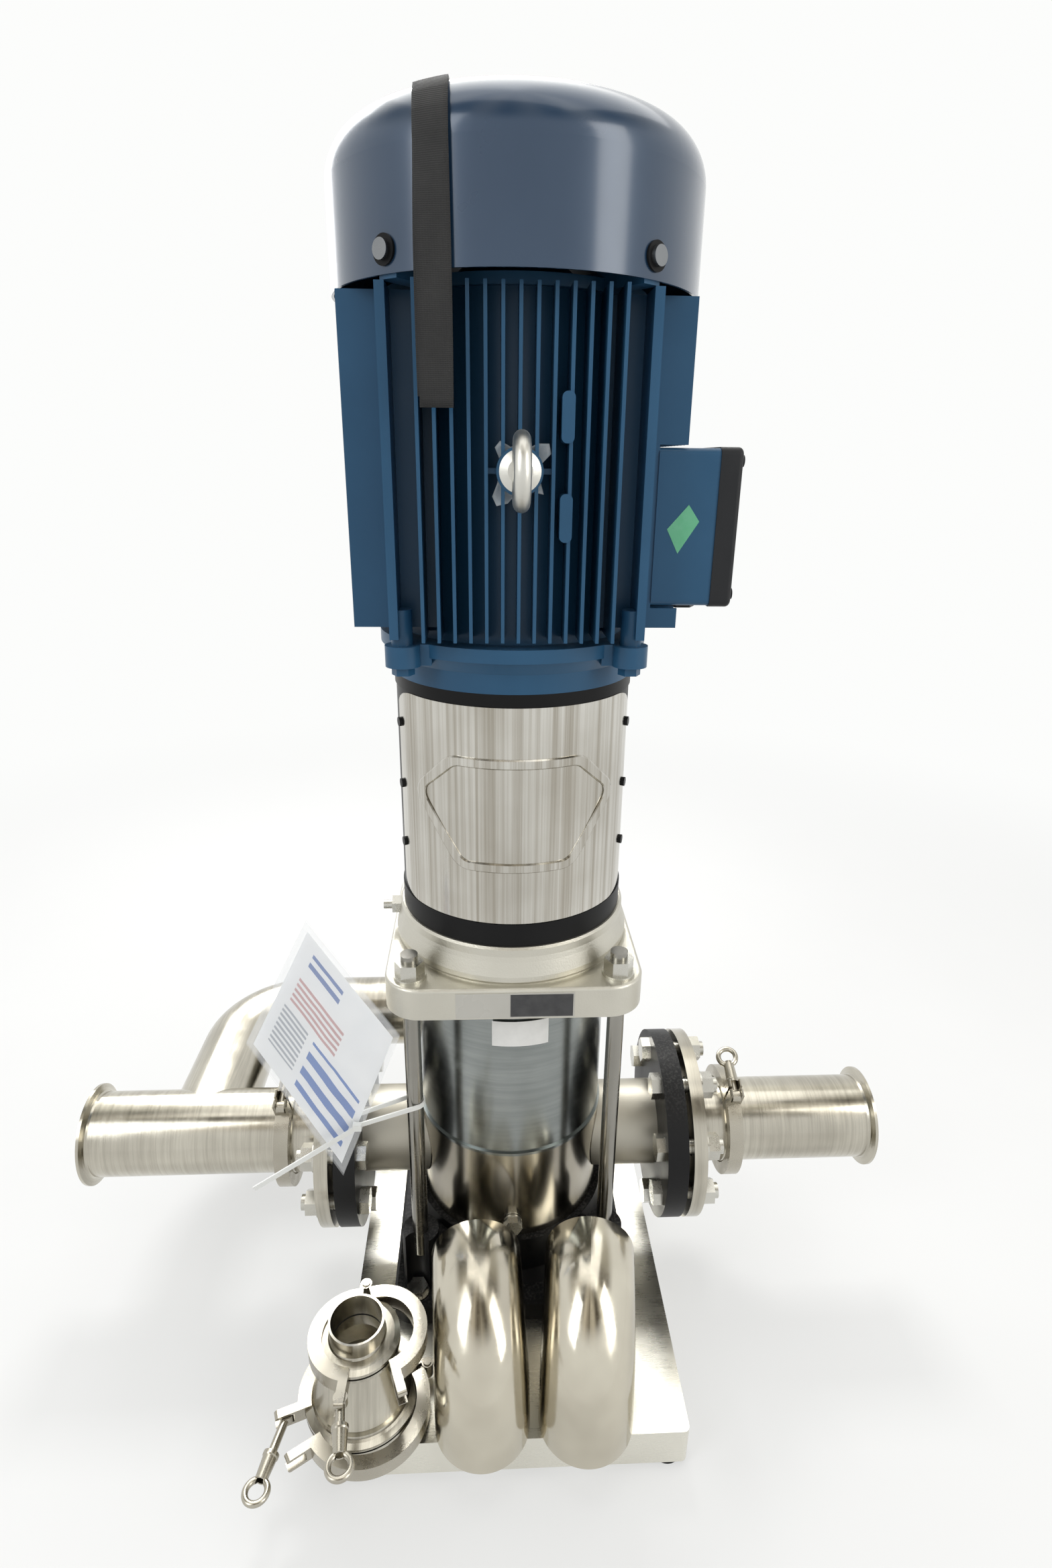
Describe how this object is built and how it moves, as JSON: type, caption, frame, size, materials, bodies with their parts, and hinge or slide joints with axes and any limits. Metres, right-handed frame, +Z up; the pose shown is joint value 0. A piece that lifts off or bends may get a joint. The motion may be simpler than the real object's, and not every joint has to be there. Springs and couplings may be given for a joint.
{
  "type": "vertical multistage pump",
  "caption": "Vertical multistage centrifugal pump with finned motor, stainless sleeve, flanged side ports, clamp-joined pipe spools and loose fittings on a folded skid.",
  "frame": {"origin": "on the floor under the middle of the whole part's box", "axes": "+Z up along the shaft, +X along the ports towards the outlet spool, -Y towards the front, where the loose fittings stand"},
  "size_m": [0.863, 0.6023, 1.1317],
  "materials": {
    "backing_flanges": "black textured paint",
    "base_bolts": "zinc plated",
    "base_casting": "black paint",
    "cable_tie": "white nylon",
    "clamp_pins": "stainless",
    "cooling_fan": "moulded",
    "coupling": "bare",
    "cover_and_guard_screws": "black",
    "document_bag": "clear film with paper",
    "drive_end_shield": "blue paint",
    "fan_cover": "satin dark blue",
    "fitted_clamp_bolts": "stainless",
    "fitted_clamp_halves": "cast stainless",
    "flange_bolts": "zinc plated",
    "front_guard": "bright brushed",
    "gaskets": "matt",
    "impellers": "stainless",
    "inlet_adapter": "satin",
    "inlet_clamp_eye_nut": "cast stainless",
    "inlet_spool": "satin",
    "lifting_eye": "zinc plated",
    "lifting_strap": "black webbing",
    "loose_clamp_near_halves": "cast stainless",
    "loose_elbows": "satin",
    "loose_ferrules": "satin",
    "lower_clamp_eye_nut": "cast stainless",
    "lower_clamp_far_half": "cast stainless",
    "lower_clamp_swing_bolt": "cast stainless",
    "motor_bearings": "ground",
    "motor_bolts": "blue paint",
    "motor_frame": "blue paint",
    "motor_shaft": "ground",
    "motor_stool": "black paint",
    "nameplate": "matt",
    "outer_sleeve": "polished stainless",
    "outlet_adapter": "satin",
    "outlet_clamp_eye_nut": "cast stainless",
    "outlet_spool": "satin",
    "pump_head": "bead blasted",
    "pump_housing": "polished and blasted stainless",
    "pump_shaft": "ground",
    "rear_guard": "bright brushed",
    "reducer": "satin",
    "rotor_core": "laminated steel",
    "rubber_feet": "matt",
    "shaft_seal": "stainless",
    "skid": "satin stainless",
    "stage_chambers": "stainless",
    "stator": "laminated steel",
    "terminal_board": "moulded",
    "terminal_box": "blue paint",
    "terminal_box_lid": "black",
    "terminal_box_plugs_and_screws": "black",
    "tie_rod_nuts": "zinc plated",
    "tie_rods": "stainless",
    "upper_clamp_eye_nut": "cast stainless",
    "upper_clamp_far_half": "cast stainless",
    "upper_clamp_swing_bolt": "cast stainless",
    "upper_end_shield": "blue paint",
    "vent_and_drain_plugs": "stainless"
  },
  "bodies": {
    "pump": {"backing_flanges": "backing_flanges", "base_bolts": "base_bolts", "base_casting": "base_casting", "cable_tie": "cable_tie", "clamp_pins": "clamp_pins", "cover_and_guard_screws": "cover_and_guard_screws", "document_bag": "document_bag", "drive_end_shield": "drive_end_shield", "fan_cover": "fan_cover", "fitted_clamp_bolts": "fitted_clamp_bolts", "fitted_clamp_halves": "fitted_clamp_halves", "flange_bolts": "flange_bolts", "front_guard": "front_guard", "gaskets": "gaskets", "inlet_adapter": "inlet_adapter", "inlet_spool": "inlet_spool", "lifting_eye": "lifting_eye", "lifting_strap": "lifting_strap", "loose_clamp_near_halves": "loose_clamp_near_halves", "loose_elbows": "loose_elbows", "loose_ferrules": "loose_ferrules", "motor_bearings": "motor_bearings", "motor_bolts": "motor_bolts", "motor_frame": "motor_frame", "motor_stool": "motor_stool", "nameplate": "nameplate", "outer_sleeve": "outer_sleeve", "outlet_adapter": "outlet_adapter", "outlet_spool": "outlet_spool", "pump_head": "pump_head", "pump_housing": "pump_housing", "rear_guard": "rear_guard", "reducer": "reducer", "rubber_feet": "rubber_feet", "shaft_seal": "shaft_seal", "skid": "skid", "stage_chambers": "stage_chambers", "stator": "stator", "terminal_board": "terminal_board", "terminal_box": "terminal_box", "terminal_box_lid": "terminal_box_lid", "terminal_box_plugs_and_screws": "terminal_box_plugs_and_screws", "tie_rod_nuts": "tie_rod_nuts", "tie_rods": "tie_rods", "upper_end_shield": "upper_end_shield", "vent_and_drain_plugs": "vent_and_drain_plugs"},
    "rotor": {"motor_shaft": "motor_shaft", "rotor_core": "rotor_core", "pump_shaft": "pump_shaft", "coupling": "coupling", "cooling_fan": "cooling_fan", "impellers": "impellers"},
    "inlet_nut": {"inlet_clamp_eye_nut": "inlet_clamp_eye_nut"},
    "outlet_nut": {"outlet_clamp_eye_nut": "outlet_clamp_eye_nut"},
    "lower_half": {"lower_clamp_far_half": "lower_clamp_far_half"},
    "lower_bolt": {"lower_clamp_swing_bolt": "lower_clamp_swing_bolt"},
    "lower_nut": {"lower_clamp_eye_nut": "lower_clamp_eye_nut"},
    "upper_half": {"upper_clamp_far_half": "upper_clamp_far_half"},
    "upper_bolt": {"upper_clamp_swing_bolt": "upper_clamp_swing_bolt"},
    "upper_nut": {"upper_clamp_eye_nut": "upper_clamp_eye_nut"}
  },
  "joints": [
    {"name": "rotor_spin", "type": "hinge", "parent": "pump", "child": "rotor", "pos_m": [0.0275, 0.02916, 0.72], "axis": [0, 0, 1], "continuous": true},
    {"name": "inlet_nut_travel", "type": "slide", "parent": "pump", "child": "inlet_nut", "axis": [0, 0.9063, 0.4226], "range_m": [0, 0.024]},
    {"name": "outlet_nut_travel", "type": "slide", "parent": "pump", "child": "outlet_nut", "axis": [0, 0.9063, 0.4226], "range_m": [0, 0.024]},
    {"name": "lower_clamp_hinge", "type": "hinge", "parent": "pump", "child": "lower_half", "pos_m": [-0.05836, -0.15995, 0.065], "axis": [0, 0, 1], "range_deg": [-12, 3]},
    {"name": "lower_bolt_swing", "type": "hinge", "parent": "pump", "child": "lower_bolt", "pos_m": [-0.18569, -0.20045, 0.065], "axis": [0, 0, 1], "range_deg": [-60, 5]},
    {"name": "lower_nut_travel", "type": "slide", "parent": "lower_bolt", "child": "lower_nut", "axis": [-0.2079, -0.9781, 0], "range_m": [-0.016, 0.006]},
    {"name": "upper_clamp_hinge", "type": "hinge", "parent": "pump", "child": "upper_half", "pos_m": [-0.11676, -0.13212, 0.139], "axis": [0, 0, 1], "range_deg": [-22, 3]},
    {"name": "upper_bolt_swing", "type": "hinge", "parent": "pump", "child": "upper_bolt", "pos_m": [-0.12593, -0.23687, 0.139], "axis": [0, 0, 1], "range_deg": [-40, 45]},
    {"name": "upper_nut_travel", "type": "slide", "parent": "upper_bolt", "child": "upper_nut", "axis": [0.1392, -0.9903, 0], "range_m": [-0.006, 0.016]}
  ]
}
